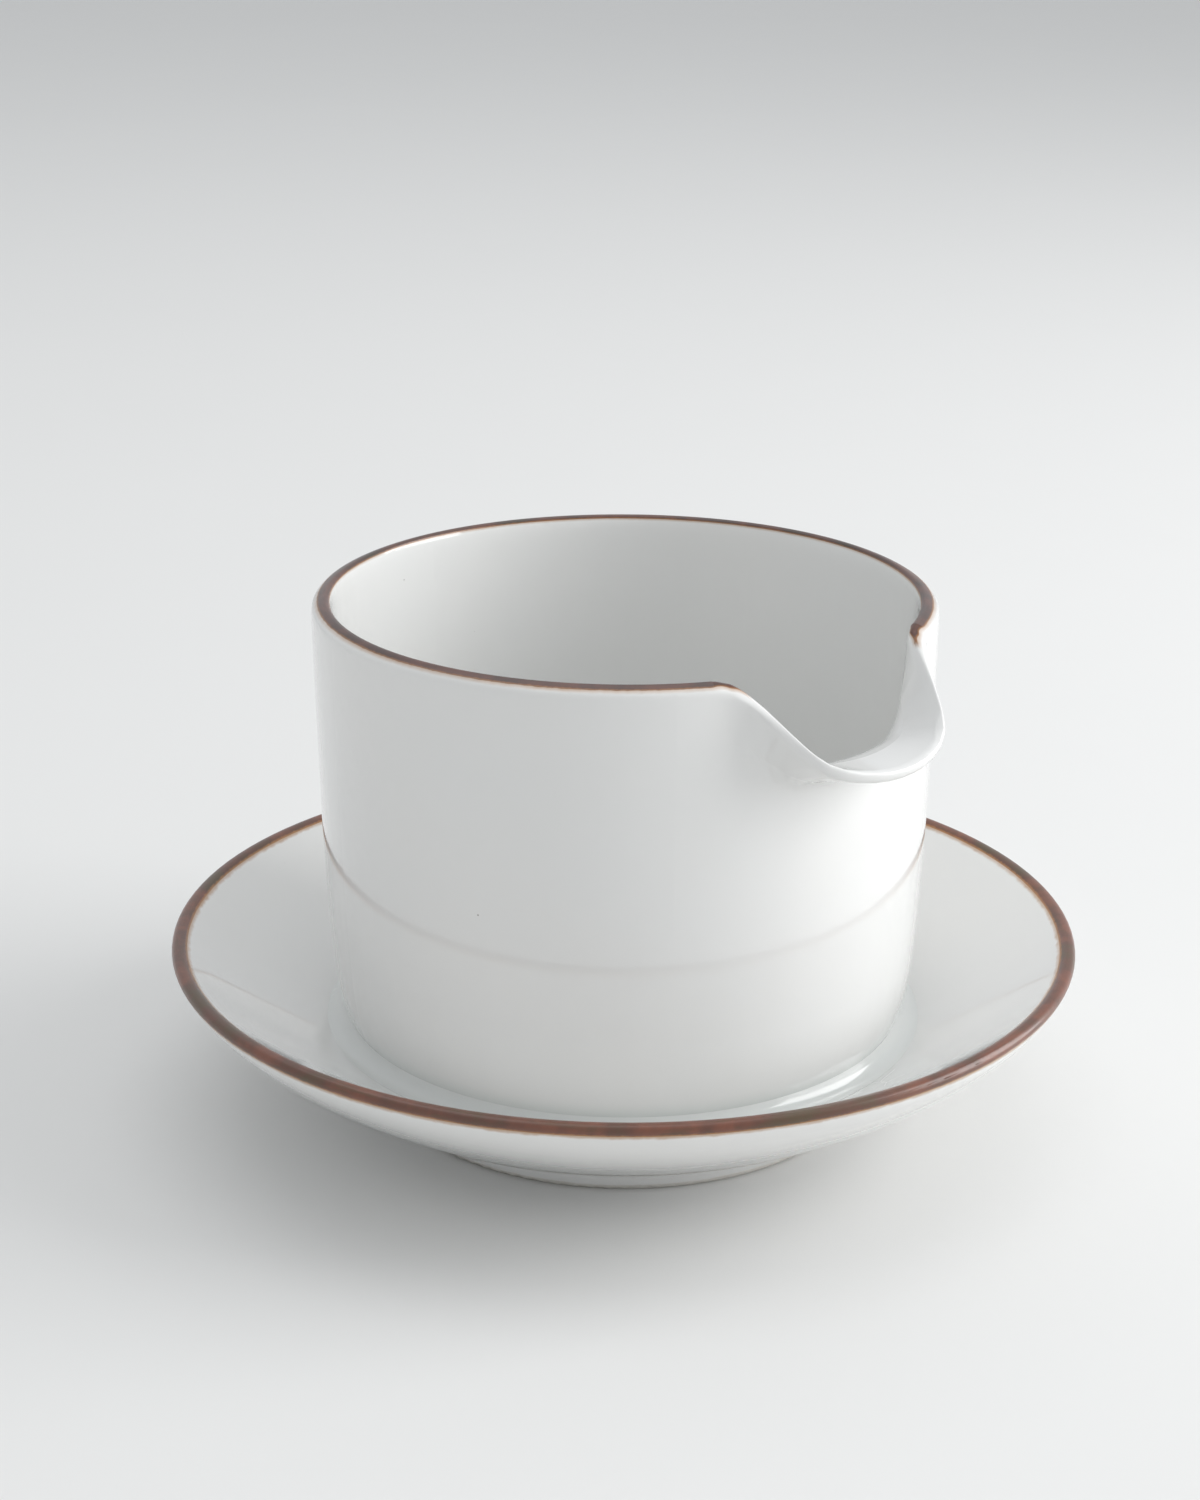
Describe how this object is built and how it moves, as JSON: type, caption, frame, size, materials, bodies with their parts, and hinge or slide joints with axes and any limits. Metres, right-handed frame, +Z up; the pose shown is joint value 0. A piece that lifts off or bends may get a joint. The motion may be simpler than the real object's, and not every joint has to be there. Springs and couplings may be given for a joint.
{
  "type": "gravy boat",
  "caption": "Round porcelain sauce boat with one pulled spout, luted to its round underplate, with a brown glaze band on both rims.",
  "frame": {"origin": "centre of the foot ring, in the plane that it stands on", "axes": "+Z up along the axis of the vessel and the underplate, +X towards the spout"},
  "size_m": [0.165, 0.165, 0.0951],
  "materials": {
    "porcelain_vessel": "gloss transparent glaze over white porcelain",
    "porcelain_underplate": "gloss transparent glaze over white porcelain, bare where the foot stands",
    "slip": "glazed slip fillet",
    "brown_glaze_vessel": "semi-gloss iron brown band",
    "brown_glaze_underplate": "semi-gloss iron brown band"
  },
  "bodies": {
    "root": {"vessel": "porcelain_vessel", "underplate": "porcelain_underplate", "luting_slip": "slip", "vessel_rim_band": "brown_glaze_vessel", "underplate_rim_band": "brown_glaze_underplate"}
  },
  "joints": []
}
